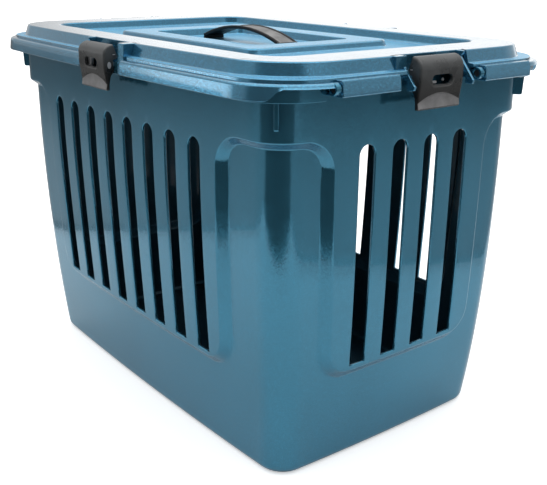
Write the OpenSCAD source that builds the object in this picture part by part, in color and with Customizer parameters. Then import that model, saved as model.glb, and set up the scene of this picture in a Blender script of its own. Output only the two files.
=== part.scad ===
// Pet carrier: a slotted tub, a lid on a slide-off hinge, four rocking clips and a lift handle.
// The origin is the middle of the base, +X points to the hinge end and +Z up.

/* [Tub] */
// Length over the end panels, below the rim
tub_length = 470; // [420:5:520]
// Width over the side panels, below the rim
tub_width = 297; // [260:1:340]
// Height of the rim's top face above the base
rim_z = 347; // [335:1:370]
// Wall thickness
wall_t = 3; // [2.5:0.1:3.5]
// How far the panels and the upper band stand out from the corner columns
panel_depth = 7.5; // [6:0.5:9]
// Plan radius of the upper band's corners
corner_r = 31; // [28:1:36]
// Radius between the walls and the base
base_r = 8; // [6:0.5:10]
// How far the foot of an end wall leans in
end_lean = 11.5; // [6:0.5:16]
// How far the foot of a side wall leans in
side_lean = 13.5; // [6:0.5:16]
// Height above which the walls stand upright
lean_z = 260; // [240:5:280]
// Outward bow of the end walls in plan
end_bow = 2.8; // [1:0.1:4]
// Outward bow of the side walls in plan
side_bow = 4.9; // [2:0.1:6]

/* [Panels] */
// Height of the upper band's lower edge
band_z = 304; // [300:1:308]
// Height of the panels' lower edge
panel_z = 97; // [90:1:110]
// Width of a side panel
side_panel_w = 316; // [310:1:322]
// Width of an end panel
end_panel_w = 176; // [172:1:182]
// Radius where a panel meets the upper band
arch_r = 30; // [24:1:34]
// Radius of the panels' lower corners
panel_r = 22; // [18:1:26]

/* [Slots] */
// Width of an air slot
slot_w = 17.3; // [12:0.1:20]
// Distance from one slot to the next
slot_pitch = 37; // [34:0.5:38]
// Height of the slots' round tops
slot_top_z = 294.5; // [270:0.5:298]
// Height of the sill that the slots run down to
slot_sill_z = 100; // [96:0.5:115]
// Slots in a side wall
side_slots = 8; // [4:1:8]
// Slots in the hinge end's wall
end_slots = 4; // [2:1:4]

/* [Rim] */
// How far the rim stands out from the upper band
rim_out = 12.8; // [12:0.1:14]
// Height of the rim's turned-down lip
lip_h = 11.5; // [9:0.5:13]
// Thickness of the rim and its lip
rim_t = 2.5; // [2:0.1:3]
// How far the stacking fins stand out from the corners
fin_out = 6.5; // [4:0.5:8]
// Height of a stacking fin below the rim
fin_h = 22; // [15:1:30]
// Thickness of a stacking fin
fin_t = 3.6; // [2.5:0.1:5]

/* [Lid] */
// How far the lid's raised top stands out over the tub's ends
over_end = 5; // [4:0.5:6]
// How far it stands out over the tub's sides
over_side = 2; // [1:0.5:3]
// Height of the lid's top above the rim
lid_rise = 16.5; // [15.5:0.1:18]
// Lid thickness
lid_t = 2.5; // [2:0.1:2.8]
// Plan radius of the raised top's corners
lid_r = 40; // [36:1:44]
// Outward bow of the lid's ends in plan
lid_end_bow = 3.5; // [3:0.1:4]
// Outward bow of the lid's sides in plan
lid_side_bow = 6.6; // [6:0.1:7]
// How far the skirt stands out from the raised top's edge
skirt_out = 16.6; // [16:0.1:17.2]
// Height of the skirt below the lid's flange
skirt_h = 10; // [7:0.5:11]
// Width of the frame round the lid's recess
frame_w = 41; // [36:1:46]
// Width of that frame along the sides
side_frame_w = 30; // [28:1:34]
// Depth of the lid's recess
recess_d = 9; // [8:0.1:9.5]
// Length of the island in the recess
island_l = 240; // [230:1:250]
// Width of the island
island_w = 170; // [160:1:176]
// Width of the island's rim
island_rim = 29; // [24:1:32]
// How far the island's rim lies below the lid's top
island_drop = 3; // [2:0.1:4]
// Depth of the handle well below the island's rim
well_d = 8; // [6:0.5:9]

/* [Hinge] */
// Length of a hinge barrel
barrel_l = 60; // [50:1:62]
// Height and depth of a hinge barrel
barrel_s = 12.8; // [12:0.1:13.4]
// Radius of a hinge pin
hinge_pin_r = 3; // [2.5:0.1:3.5]
// How far a hinge pin reaches into its barrel
hinge_pin_in = 22; // [14:1:40]
// Running clearance round the pins
pin_gap = 0.06; // [0.04:0.01:0.08]

/* [Clips] */
// Width of a clip
clip_w = 51; // [46:1:53]
// Thickness of a clip's shell
clip_t = 2.6; // [2.2:0.1:2.8]
// Radius of a clip's round top about its pin
clip_r = 10.4; // [9.8:0.1:10.6]
// Depth of a clip below its pin
clip_drop = 31.5; // [28:0.5:34]
// Radius of a clip pin
clip_pin_r = 1.5; // [1.3:0.1:1.6]
// Width of the window in a clip
window_w = 24; // [16:1:28]
// Height of the window in a clip
window_h = 8; // [6:0.5:10]

/* [Handle] */
// Distance between the handle's legs
handle_span = 126; // [120:1:132]
// Width of the handle's strap
handle_w = 24; // [20:1:28]
// Thickness of the handle's strap
handle_t = 3.2; // [2.8:0.1:4]
// Height of the grip above the lid's top
grip_rise = 4.5; // [3:0.5:6]
// Travel of the handle when it is lifted
handle_lift = 16; // [10:1:18]

/* [Hidden] */
$fn = 48;
eps = 0.01;
far = 600;                    // reach of cutting prisms
seat_gap = 0.3;               // between parts that rest near each other
arc_steps = 6;
side_steps = 4;
end_curve = 3;                // how late the end walls begin to lean
side_curve = 1.6;
lid_z = rim_z + lid_rise;
flange_z = rim_z + seat_gap + lid_t;      // top of the lid's flange
skirt_z = flange_z - skirt_h - lid_t;
ledge_h = 2.5;
ledge_out = 9.5;
wall_foot_out = 3.9;
lip_z = rim_z - lip_h;
tub_half = [tub_length / 2, tub_width / 2];
lid_half = tub_half + [over_end, over_side];
tub_bow = [end_bow, side_bow];
lid_bow = [lid_end_bow, lid_side_bow];

// ---- outlines and lofts ----

function side_of(v) = v < 0 ? -1 : 1;
function bowed(p, half, bow) =
    [p.x + side_of(p.x) * bow.x * (1 - pow(p.y / half.y, 2)),
     p.y + side_of(p.y) * bow.y * (1 - pow(p.x / half.x, 2))];
// A rectangle with round corners, whose sides bow outwards, as a ring of points
function plan(half, r, bow) =
    let (c = [[1, 1], [-1, 1], [-1, -1], [1, -1]])
    [for (i = [0:3])
        let (m = [c[i].x * (half.x - r), c[i].y * (half.y - r)],
             n = c[(i + 1) % 4],
             last = m + r * [cos(90 * i + 90), sin(90 * i + 90)],
             next = [n.x * (half.x - r), n.y * (half.y - r)] + r * [cos(90 * i + 90), sin(90 * i + 90)])
        each concat(
            [for (k = [0:arc_steps]) let (a = 90 * (i + k / arc_steps))
                bowed(m + r * [cos(a), sin(a)], half, bow)],
            [for (k = [1:side_steps - 1]) bowed(last + (next - last) * k / side_steps, half, bow)])];
function at_z(points, z) = [for (p = points) [p.x, p.y, z]];

// A closed solid through rings of equally many points, lowest first
module loft(rings) {
    n = len(rings[0]);
    top = len(rings) - 1;
    polyhedron(
        points = [for (ring = rings) each ring],
        faces = concat(
            [[for (i = [0:n - 1]) i]],
            [[for (i = [n - 1:-1:0]) top * n + i]],
            [for (k = [0:top - 1], i = [0:n - 1]) let (j = (i + 1) % n, a = k * n, b = a + n)
                each [[a + i, b + i, b + j], [a + i, b + j, a + j]]]));
}

function lean(z, amount, curve) = z >= lean_z ? 0 : amount * pow(1 - z / lean_z, curve);
function foot_inset(z, z0, r) = z - z0 >= r ? 0 : r - sqrt(r * r - pow(r - z + z0, 2));
// The tub's outline at a height, "out" beyond its corner columns, with a round foot at z0
function tub_ring(z, out, z0, foot) =
    let (set = panel_depth - out + foot_inset(z, z0, foot),
         half = [tub_half.x - set - lean(z, end_lean, end_curve),
                 tub_half.y - set - lean(z, side_lean, side_curve)])
    at_z(plan(half, corner_r - set, tub_bow), z);
function lid_ring(z, out) = at_z(plan(lid_half + [out, out], lid_r + out, lid_bow), z);

foot_angles = [0, 35, 65, 90];
wall_levels = 5;
module tub_body(out, z0, foot, top) {
    loft(concat(
        [for (a = foot_angles) let (z = z0 + foot * (1 - cos(a))) tub_ring(z, out, z0, foot)],
        [for (k = [1:wall_levels]) tub_ring(z0 + foot + (lean_z - z0 - foot) * k / wall_levels, out, z0, foot)],
        [tub_ring(top, out, z0, foot)]));
}
module tub_panel_body(out, top) {
    low = panel_z - 2 * panel_depth;
    loft(concat(
        [for (k = [0:wall_levels - 1]) tub_ring(low + (lean_z - low) * k / (wall_levels - 1), out, 0, 1)],
        [tub_ring(top, out, 0, 1)]));
}

// ---- the tub ----

// Elevation of the upper band with one panel hanging from it, grown by g
module panel_face(w, g) {
    half = w / 2 + g;
    low = panel_z - g;
    r = panel_r + g;
    top = band_z - g;
    a = arch_r - g;
    translate([-far / 2, top]) square([far, far / 3]);
    translate([-half, low + r]) square([2 * half, top - low - r + eps]);
    translate([r - half, low]) square([2 * (half - r), r + eps]);
    for (s = [-1, 1]) {
        translate([s * (half - r), low + r]) circle(r);
        difference() {
            translate([s * half + (s < 0 ? -a : 0), top - a]) square([a, a + eps]);
            translate([s * (half + a), top - a]) circle(a);
        }
    }
}
module panel_prism(g) {
    rotate([90, 0, 0]) linear_extrude(far, center = true) panel_face(side_panel_w, g);
    rotate([90, 0, 90]) linear_extrude(far, center = true) panel_face(end_panel_w, g);
}
module slot_face() {
    r = slot_w / 2;
    translate([-r, slot_sill_z]) square([slot_w, slot_top_z - r - slot_sill_z]);
    translate([0, slot_top_z - r]) circle(r);
}
module slots() {
    for (i = [0:side_slots - 1])
        translate([(i - (side_slots - 1) / 2) * slot_pitch, 0, 0])
            rotate([90, 0, 0]) linear_extrude(far, center = true) slot_face();
    // only the hinge end has slots: the other end wall is closed
    for (i = [0:end_slots - 1])
        translate([0, (i - (end_slots - 1) / 2) * slot_pitch, 0])
            rotate([90, 0, 90]) linear_extrude(far) slot_face();
}
module stacking_fins() {
    reach = corner_r + rim_out - lid_t;
    for (x = [-1, 1], y = [-1, 1])
        translate([x * (tub_half.x - corner_r), y * (tub_half.y - corner_r), lip_z - fin_h])
            rotate(y * (x > 0 ? 45 : 135))
                rotate([90, 0, 0]) linear_extrude(fin_t, center = true)
                    polygon([[corner_r - 1, 0], [corner_r + fin_out - 1, 0], [corner_r + fin_out, 1],
                             [corner_r + fin_out + 1, fin_h], [reach, fin_h + lip_h - eps],
                             [corner_r - 1, fin_h + lip_h - eps]]);
}

// ---- hinge and clip places ----

// Distance of the clip pins from the middle, for a side and for an end
clip_at = [tub_half.y + rim_out + side_bow, tub_half.x + rim_out + end_bow];
clip_z = rim_z + 5.5;
hinge_x = clip_at[1] + clip_r - barrel_s / 2;
hinge_z = rim_z - 2;
barrel_y = [-0.357, 0.1835] * tub_width;   // the barrels' front ends
knuckle_t = 5;
knuckle_r = 5;
knuckle_gap = 0.5;
knuckle_notch = 10;           // the gap in the lid's flange for a knuckle
pin_seat = 1.2;               // how far a hinge pin's end lies inside its knuckle
zone_gap = 2;

module rounded(w, d, r) {
    for (s = [-1, 1], t = [-1, 1]) translate([s * (w / 2 - r), t * (d / 2 - r)]) circle(r);
    square([w - 2 * r, d], center = true);
    square([w, d - 2 * r], center = true);
}
module knuckles() {
    for (y = barrel_y)
        translate([hinge_x, y - knuckle_gap, hinge_z]) rotate([90, 0, 0])
            linear_extrude(knuckle_t) {
                circle(r = knuckle_r);
                translate([tub_half.x - hinge_x - wall_t / 2, -knuckle_r])
                    square([hinge_x - tub_half.x + wall_t / 2, knuckle_r + rim_z - hinge_z]);
            }
}
// The rim is cut away where the barrels and the gussets beside the hinge clip turn
module hinge_clearance() {
    first = barrel_y[0] - knuckle_gap - knuckle_t;
    mid = clip_w / 2 + 1;
    last = barrel_y[1] + barrel_l + zone_gap;
    for (y = [[first - seat_gap, -mid], [mid, last]])
        translate([tub_half.x + end_bow + 1, y[0], lip_z - 1])
            cube([far, y[1] - y[0], lip_h + 2]);
}

module tub() {
    color("steelblue")
    difference() {
        union() {
            difference() {
                union() {
                    tub_body(0, 0, base_r, rim_z);
                    intersection() {
                        tub_panel_body(panel_depth, rim_z);
                        panel_prism(0);
                    }
                    intersection() {
                        tub_panel_body(panel_depth / 2, rim_z);
                        panel_prism(panel_depth / 2);
                    }
                    difference() {
                        loft([tub_ring(lip_z, panel_depth + rim_out, 0, 1),
                              tub_ring(rim_z, panel_depth + rim_out, 0, 1)]);
                        loft([tub_ring(lip_z - 1, panel_depth + rim_out - rim_t, 0, 1),
                              tub_ring(rim_z - rim_t, panel_depth + rim_out - rim_t, 0, 1)]);
                        hinge_clearance();
                    }
                    stacking_fins();
                }
                tub_body(-wall_t, wall_t, base_r - wall_t, rim_z + 1);
                intersection() {
                    tub_panel_body(panel_depth - wall_t, rim_z + 1);
                    panel_prism(-wall_t);
                }
                slots();
            }
            knuckles();
        }
        for (y = barrel_y)
            translate([hinge_x, y + 1, hinge_z]) rotate([90, 0, 0])
                cylinder(r = hinge_pin_r, h = knuckle_t + 2);
    }
}
module hinge_pin(y) {
    color("dimgray")
    translate([hinge_x, y - knuckle_gap - knuckle_t + pin_seat, hinge_z]) rotate([-90, 0, 0])
        cylinder(r = hinge_pin_r, h = knuckle_t - pin_seat + knuckle_gap + hinge_pin_in);
}

// ---- the lid ----

bay = [-31, 47];              // the lid is cut away beside a clip, between these
bay_back = clip_r + 0.5;      // and back to here behind the pin
lug_at = 16;
lug_t = 4;
lug_r = 4;
gussets = [-29.8, 39.8];
gusset_t = 2.6;
strip = [36, 46.5];           // the block beside a side clip, and beside an end clip on the other hand
strip_out = [1.3, 5.4];
strip_foot = 3.2;
end_skirt_cut = rim_z - 0.6;

// Puts a drawing made round the front clip's pin at clip k, counted to the right; the back is the front's mirror image
module at_clip(k) {
    rotate(90 * k) translate([0, -clip_at[k % 2], clip_z]) mirror([k == 2 ? 1 : 0, 0, 0]) children();
}
// Stands a drawing of [outwards, upwards] on edge, centred on the clip
module on_edge(w) {
    rotate([90, 0, -90]) linear_extrude(w, center = true) children();
}
module prism(w, d, r, z0, z1) {
    translate([0, 0, z0]) linear_extrude(z1 - z0) rounded(w, d, r);
}

recess_w = 2 * lid_half.x - 2 * frame_w;
recess_y = 2 * lid_half.y - 2 * side_frame_w;
recess_z = lid_z - recess_d;
island_z = lid_z - island_drop;
well_z = island_z - well_d;
well_w = island_l - 2 * island_rim;
well_y = island_w - 2 * island_rim;
recess_r = 24;
island_r = 16;
well_r = 12;
handle_gap = 0.5;             // round a handle leg in its slot

module lid_outside() {
    loft([lid_ring(skirt_z, skirt_out), lid_ring(flange_z, skirt_out)]);
    loft([lid_ring(flange_z - eps, ledge_out), lid_ring(flange_z + ledge_h, ledge_out)]);
    loft([lid_ring(flange_z + ledge_h - eps, wall_foot_out), lid_ring(lid_z - 1, 0.6), lid_ring(lid_z, 0)]);
}
module lid_inside() {
    loft([lid_ring(skirt_z - 1, skirt_out - lid_t), lid_ring(flange_z - lid_t, skirt_out - lid_t)]);
    loft([lid_ring(flange_z - lid_t - eps, wall_foot_out - lid_t), lid_ring(lid_z - lid_t, -lid_t)]);
}
module lid_basin() {
    prism(recess_w + 2 * lid_t, recess_y + 2 * lid_t, recess_r + lid_t, recess_z - lid_t, lid_z - 1);
}
module barrel() {
    c = 2.5;
    h = barrel_s / 2;
    rotate([-90, 0, 0]) linear_extrude(barrel_l)
        polygon([[-h, h - c], [-h, -h], [h - c, -h], [h, c - h], [h, h - c], [h - c, h], [c - h, h]]);
}
module bay_parts(end) {
    reach = end ? skirt_out + lid_half.x + lid_end_bow - clip_at[1] : skirt_out + lid_half.y + lid_side_bow - clip_at[0];
    rest = flange_z - lid_t - clip_z;
    // wall behind the clip
    translate([bay[0] - lid_t, bay_back, rest]) cube([bay[1] - bay[0] + 2 * lid_t, lid_t, lid_z - clip_z - rest]);
    for (s = [-1, 1]) translate([s * lug_at, 0, 0]) on_edge(lug_t) {
        circle(r = lug_r);
        polygon([[-bay_back - 1, rest], [lug_r - 1, rest], [lug_r - 1, -2.5], [-2, 2], [-5, -2.8],
                 [-bay_back - 1, -3]]);
    }
    for (u = end ? gussets : [gussets[0]]) translate([u, 0, 0]) on_edge(gusset_t)
        polygon([[-bay_back - 1, rest], [0.8, rest], [0.8, skirt_z - clip_z], [reach, skirt_z - clip_z],
                 [reach, skirt_z - clip_z + 4], [-bay_back + 5, lid_z - clip_z - 5], [1, lid_z - clip_z - 2.5],
                 [2, lid_z - clip_z], [-bay_back - 1, lid_z - clip_z]]);
    mid = (strip[0] + strip[1]) / 2;
    if (end)
        translate([-mid, 0, 0]) on_edge(strip[1] - strip[0])
            polygon([[-bay_back, flange_z - clip_z], [strip_out[1], flange_z - clip_z],
                     [strip_out[1], lid_z - clip_z], [-bay_back, lid_z - clip_z]]);
    else
        translate([mid, 0, 0]) on_edge(strip[1] - strip[0])
            polygon([[-bay_back - 1, rest], [0.8, rest], [0.8, skirt_z - clip_z], [strip_foot, skirt_z - clip_z],
                     [strip_out[0], lid_z - clip_z], [-bay_back - 1, lid_z - clip_z]]);
}

module lid() {
    color("lightsteelblue")
    difference() {
        union() {
            difference() {
                union() {
                    difference() {
                        lid_outside();
                        lid_inside();
                        for (k = [0:3]) at_clip(k)
                            translate([bay[0], -far, -far / 2]) cube([bay[1] - bay[0], far + bay_back, far]);
                        // the flange is open over the tub's knuckles
                        for (y = barrel_y)
                            translate([hinge_x - knuckle_r - 0.8, y - knuckle_notch, skirt_z - 1])
                                cube([far, knuckle_notch, flange_z + ledge_h - skirt_z + 2]);
                        // the skirt stops short over the hinge
                        translate([lid_half.x + ledge_out, -lid_half.y + 4, skirt_z - 1])
                            cube([far, 2 * lid_half.y - 8, end_skirt_cut - skirt_z + 1]);
                    }
                    lid_basin();
                }
                prism(recess_w, recess_y, recess_r, recess_z, lid_z + 1);
            }
            prism(island_l, island_w, island_r, recess_z - lid_t, island_z);
            for (k = [0:3]) at_clip(k) bay_parts(k % 2 == 1);
            for (y = barrel_y) translate([hinge_x, y, hinge_z]) barrel();
        }
        // the island is hollow from below, round its well
        difference() {
            prism(island_l - 2 * lid_t, island_w - 2 * lid_t, island_r - lid_t,
                  recess_z - lid_t - 1, island_z - lid_t);
            prism(well_w + 2 * lid_t, well_y + 2 * lid_t, well_r + lid_t, well_z - lid_t, island_z);
        }
        prism(well_w, well_y, well_r, well_z, island_z + 1);
        for (s = [-1, 1])
            translate([s * handle_span / 2, 0, well_z - lid_t - 1]) linear_extrude(lid_t + 2)
                square([handle_t + 2 * handle_gap, handle_w + 2 * handle_gap], center = true);
        for (y = barrel_y)
            translate([hinge_x, y - 1, hinge_z]) rotate([-90, 0, 0])
                cylinder(r = hinge_pin_r + pin_gap, h = hinge_pin_in + 3);
        for (k = [0:3]) at_clip(k)
            rotate([0, 90, 0]) cylinder(r = clip_pin_r, h = clip_w, center = true);
    }
}

// ---- the clips ----

window_z = -8;
hook_z = lip_z - clip_z;       // the rim's lower edge
hook_gap = 0.5;
nib_w = 34;

module clip_outline() {
    intersection() {
        circle(r = clip_r);
        rotate(-5) square(clip_r + 1);
    }
    polygon([[0, 0], [clip_r, 0], [clip_r, -12], [clip_r - 2, 1 - clip_drop], [clip_r - 3, -clip_drop],
             [clip_r - 5, -clip_drop], [clip_r - 4.5, 6 - clip_drop], [4, hook_z - 2], [0.8, hook_z + 2],
             [0.8, -lug_r + 1]]);
    circle(r = lug_r);
}
module clip_hollow() {
    intersection() {
        circle(r = clip_r - clip_t);
        translate([-clip_r, -clip_r]) square(2 * clip_r);
    }
    polygon([[-lug_r - 1, 1], [clip_r - clip_t, 0], [clip_r - clip_t, -12], [clip_r - clip_t - 1.2, 9 - clip_drop],
             [clip_r - clip_t - 2.5, 5 - clip_drop], [-lug_r - 1, 5 - clip_drop]]);
}
module clip(k) {
    color("darkslategray")
    at_clip(k) difference() {
        union() {
            difference() {
                on_edge(clip_w) clip_outline();
                on_edge(clip_w - 2 * clip_t) clip_hollow();
            }
            // the hook that springs under the rim
            on_edge(nib_w) polygon([[clip_r - clip_t + 0.5, hook_z + 1.5], [hook_gap, hook_z - 0.2],
                                    [hook_gap, hook_z - 1.2], [clip_r - clip_t - 0.5, 5 - clip_drop]]);
        }
        translate([0, 0, window_z]) rotate([90, 0, 0])
            linear_extrude(clip_r + 1) rounded(window_w, window_h, window_h / 2 - 0.1);
        rotate([0, 90, 0]) cylinder(r = clip_pin_r + pin_gap, h = clip_w + 1, center = true);
    }
}
module clip_pin(k) {
    color("dimgray")
    at_clip(k) rotate([0, 90, 0]) cylinder(r = clip_pin_r, h = clip_w - 0.4, center = true);
}

// ---- the handle ----

grip_z = lid_z + grip_rise + handle_t / 2;   // top of the strap
leg_top = island_z - 3;
barb = 3;

module strap_side() {
    half = handle_span / 2 + handle_t / 2;
    sag = grip_z - leg_top;
    r = (half * half + sag * sag) / (2 * sag);
    foot = well_z - lid_t - 1 - handle_lift;
    intersection() {
        translate([0, grip_z - r]) difference() {
            circle(r = r, $fn = 360);
            circle(r = r - handle_t, $fn = 360);
        }
        translate([-half, leg_top - handle_t - 1]) square([2 * half, sag + handle_t + 2]);
    }
    for (s = [-1, 1]) translate([s * handle_span / 2 - handle_t / 2, foot])
        square([handle_t, leg_top - foot]);
}
module handle() {
    color("dimgray") {
        rotate([90, 0, 0]) linear_extrude(handle_w, center = true) strap_side();
        for (s = [-1, 1]) translate([s * handle_span / 2, 0, well_z - lid_t - 1 - handle_lift - barb]) linear_extrude(barb)
            square([handle_t + 2, handle_w + 6], center = true);
    }
}

tub();
lid();
handle();
hinge_pin(barrel_y[0]);  // hinge_pin_front
hinge_pin(barrel_y[1]);  // hinge_pin_back
clip(0);  // clip_front
clip(1);  // clip_hinge
clip(2);  // clip_back
clip(3);  // clip_left
clip_pin(0);  // clip_pin_front
clip_pin(1);  // clip_pin_hinge
clip_pin(2);  // clip_pin_back
clip_pin(3);  // clip_pin_left
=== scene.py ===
"""Looks of the pet keeper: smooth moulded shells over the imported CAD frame. Lengths in the helpers are mm."""
import bpy
import math
import numpy as np
from mathutils import Matrix, Vector
from mathutils.geometry import delaunay_2d_cdt


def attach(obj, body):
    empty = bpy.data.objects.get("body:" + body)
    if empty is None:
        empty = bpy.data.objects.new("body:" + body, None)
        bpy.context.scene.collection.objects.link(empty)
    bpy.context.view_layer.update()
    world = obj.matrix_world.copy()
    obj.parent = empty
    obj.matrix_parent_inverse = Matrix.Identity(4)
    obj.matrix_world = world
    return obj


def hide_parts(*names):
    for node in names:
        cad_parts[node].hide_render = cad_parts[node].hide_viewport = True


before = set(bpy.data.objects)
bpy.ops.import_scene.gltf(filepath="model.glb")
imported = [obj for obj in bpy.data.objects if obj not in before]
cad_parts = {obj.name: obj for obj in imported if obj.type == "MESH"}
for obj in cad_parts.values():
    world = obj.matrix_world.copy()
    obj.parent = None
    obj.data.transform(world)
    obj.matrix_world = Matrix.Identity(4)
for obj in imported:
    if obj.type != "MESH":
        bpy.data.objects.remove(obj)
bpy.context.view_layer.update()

PI = math.pi
MM = 0.001                                 # metres in a millimetre
UP = (0, 0, 1)
FAR = 60.0                                 # stands for "nowhere near" in the distances below

# ---------------------------------------------------------------- flat drawings and the faces made of them


def arc(cx, cy, r, start, end, count):
    """Points on a circle about (cx, cy), evenly spaced from one angle to the other."""
    return [(cx + r * math.cos(a), cy + r * math.sin(a)) for a in np.linspace(start, end, count)]


def circle(cx, cy, r, count):
    """A whole circle as a polygon."""
    return arc(cx, cy, r, 0, 2 * PI, count + 1)[:-1]


def rounded(corners):
    """A polygon with round corners from (x, y, radius) triples; radius 0 keeps the corner."""
    out, n = [], len(corners)
    for i, (x, y, r) in enumerate(corners):
        if r <= 0:
            out.append((x, y))
            continue
        c = np.array([x, y], float)
        to_last = np.array(corners[i - 1][:2], float) - c
        to_next = np.array(corners[(i + 1) % n][:2], float) - c
        reach, ahead = np.linalg.norm(to_last), np.linalg.norm(to_next)
        a, b = to_last / reach, to_next / ahead
        half = math.acos(max(-1, min(1, float(a @ b)))) / 2
        d = min(r / math.tan(half), 0.49 * reach, 0.49 * ahead)
        fit = d * math.tan(half)
        mid = (a + b) / np.linalg.norm(a + b) * (fit / math.sin(half)) + c
        first, last = c + a * d - mid, c + b * d - mid
        start = math.atan2(first[1], first[0])
        sweep = (math.atan2(last[1], last[0]) - start + PI) % (2 * PI) - PI
        parts = max(2, int(abs(sweep) / 0.35) + 1)
        out += arc(mid[0], mid[1], fit, start, start + sweep, parts + 1)
    return out


def area(polygon):
    """Area of a polygon by the shoelace formula, positive where it runs anticlockwise."""
    x, y = np.asarray(polygon, float).T
    return (x * np.roll(y, -1) - np.roll(x, -1) * y).sum() / 2


def inside(points, polygon):
    """Which points lie in a polygon: a ray to the right of them crosses an odd number of its edges."""
    x, y = np.asarray(points, float).T
    x0, y0 = np.asarray(polygon, float).T[..., None]
    x1, y1 = np.roll(x0, -1, 0), np.roll(y0, -1, 0)
    rise = np.where(y1 == y0, 1, y1 - y0)
    crosses = ((y0 > y) != (y1 > y)) & (x < (x1 - x0) * (y - y0) / rise + x0)
    return crosses.sum(0) % 2 == 1


def cross_at(points, tris):
    """Twice the signed area of each triangle."""
    a, b, c = (points[tris[:, k]] for k in range(3))
    return (b[:, 0] - a[:, 0]) * (c[:, 1] - a[:, 1]) - (b[:, 1] - a[:, 1]) * (c[:, 0] - a[:, 0])


def triangulate(points, edges, eps=0.02):
    """Constrained Delaunay triangles of 2-D points and edges, each turned anticlockwise."""
    out = delaunay_2d_cdt([Vector(p) for p in points], edges, [], 0, eps, False)
    points = np.array([tuple(v) for v in out[0]])
    tris = np.array([tuple(f) for f in out[2]])
    clockwise = cross_at(points, tris) <= 0
    tris[clockwise] = tris[clockwise, ::-1]
    return points, tris


class Net:
    """Points of a flat drawing, merged within 0.01 mm, and the edges that its triangles keep."""

    def __init__(self):
        self.points, self.edges, self.seen = [], [], {}

    def add(self, p):
        """The index of a point, which is new unless one is there already."""
        key = (round(p[0], 2), round(p[1], 2))
        if key not in self.seen:
            self.seen[key] = len(self.points)
            self.points.append((float(p[0]), float(p[1])))
        return self.seen[key]

    def path(self, points, loop=False):
        """A line through points, back to the first one if it is a loop."""
        ids = [self.add(p) for p in points]
        pairs = zip(ids, ids[1:] + (ids[:1] if loop else []))
        self.edges.extend(p for p in pairs if p[0] != p[1])


def quads(rings, count):
    """Faces between closed rings of count points: a point, the next one, and the same two a ring on."""
    here = np.arange(rings * count).reshape(rings, count)
    beside = np.roll(here, -1, axis=1)
    faces = np.stack([here[:-1], beside[:-1], beside[1:], here[1:]], -1)
    return [tuple(f) for f in faces.reshape(-1, 4).tolist()]


def turned(faces):
    """The same faces seen from the other side."""
    return [tuple(f[::-1]) for f in faces]


def tube(rings):
    """A body through closed rings of points, capped at both ends: its points and its faces."""
    count, n, _ = rings.shape
    caps = [tuple(range(n)), tuple(reversed(range((count - 1) * n, count * n)))]
    return rings.reshape(-1, 3), turned(quads(count, n)) + caps


def two_skins(faces, n):
    """A body of flat faces, the same ones turned round n points further on, and a quad along each rim."""
    edges = [e for f in faces for e in zip(f, f[1:] + f[:1])]
    there = set(edges)
    rim = [(b, a, a + n, b + n) for a, b in edges if (b, a) not in there]
    return faces + [tuple(i + n for i in reversed(f)) for f in faces] + rim


def values(items, name, width=1, kind=float):
    """One property of all of a mesh's parts, as an array."""
    out = np.empty(len(items) * width, kind)
    items.foreach_get(name, out)
    return out.reshape(-1, width) if width > 1 else out


def make_object(name, points, faces, point_normals=None):
    """A smooth object from mm points. Point normals, if given, shade its triangles, and the rest is flat."""
    mesh = bpy.data.meshes.new(name)
    mesh.from_pydata((np.asarray(points) * MM).tolist(), [], faces)
    mesh.validate()
    mesh.update()
    mesh.polygons.foreach_set("use_smooth", [True] * len(mesh.polygons))
    if point_normals is not None:
        sides = values(mesh.polygons, "loop_total", kind=np.int32)
        face = np.repeat(np.arange(len(sides)), sides)
        corner = values(mesh.loops, "vertex_index", kind=np.int32)
        flat = values(mesh.polygons, "normal", 3)
        smooth = (sides == 3)[face][:, None]
        mesh.normals_split_custom_set(np.where(smooth, point_normals[corner], flat[face]).tolist())
    ob = bpy.data.objects.new(name, mesh)
    bpy.context.scene.collection.objects.link(ob)
    return ob


class Bag:
    """Points and faces gathered for one object."""

    def __init__(self):
        self.points, self.faces = [], []

    def add(self, points, faces):
        """Another body beside those that are here."""
        n = len(self.points)
        self.points.extend(np.asarray(points, float).tolist())
        self.faces.extend(tuple(n + i for i in f) for f in faces)

    def prism(self, polygon, c0, c1, at, axes, holes=()):
        """A polygon in the first two axes, with holes, run from c0 to c1 along the third."""
        a, b, c = np.array(axes, float)
        if holes:
            net = Net()
            for ring in (polygon, *holes):
                net.path(ring, loop=True)
            flat, tris = triangulate(net.points, net.edges, 1e-4)
            middles = flat[tris].mean(1)
            solid = inside(middles, polygon)
            for hole in holes:
                solid &= ~inside(middles, hole)
            faces = [tuple(t) for t in tris[solid].tolist()]
        else:
            flat, faces = np.array(polygon, float), [tuple(range(len(polygon)))]
            faces = faces if area(flat) > 0 else turned(faces)
        plane = np.array(at) + flat @ np.array([a, b])
        body = two_skins(faces, len(flat))
        right_handed = np.dot(np.cross(a, b), c) > 0
        skins = np.vstack([plane + c0 * c, plane + c1 * c])
        self.add(skins, turned(body) if right_handed else body)

    def make(self, name, bevel=0.0, segments=3):
        """The object, with its edges bevelled where a bevel is given and marked sharp where not."""
        ob = make_object(name, self.points, self.faces)
        if bevel:
            m = ob.modifiers.new("round", "BEVEL")
            m.width, m.segments = bevel * MM, segments
            m.limit_method, m.angle_limit = "ANGLE", math.radians(32)
            m.use_clamp_overlap = True
        else:
            ob.data.set_sharp_from_angle(angle=math.radians(52))
        w = ob.modifiers.new("weights", "WEIGHTED_NORMAL")
        w.keep_sharp, w.weight = True, 80
        return ob


# ---------------------------------------------------------------- the keeper's outlines

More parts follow.
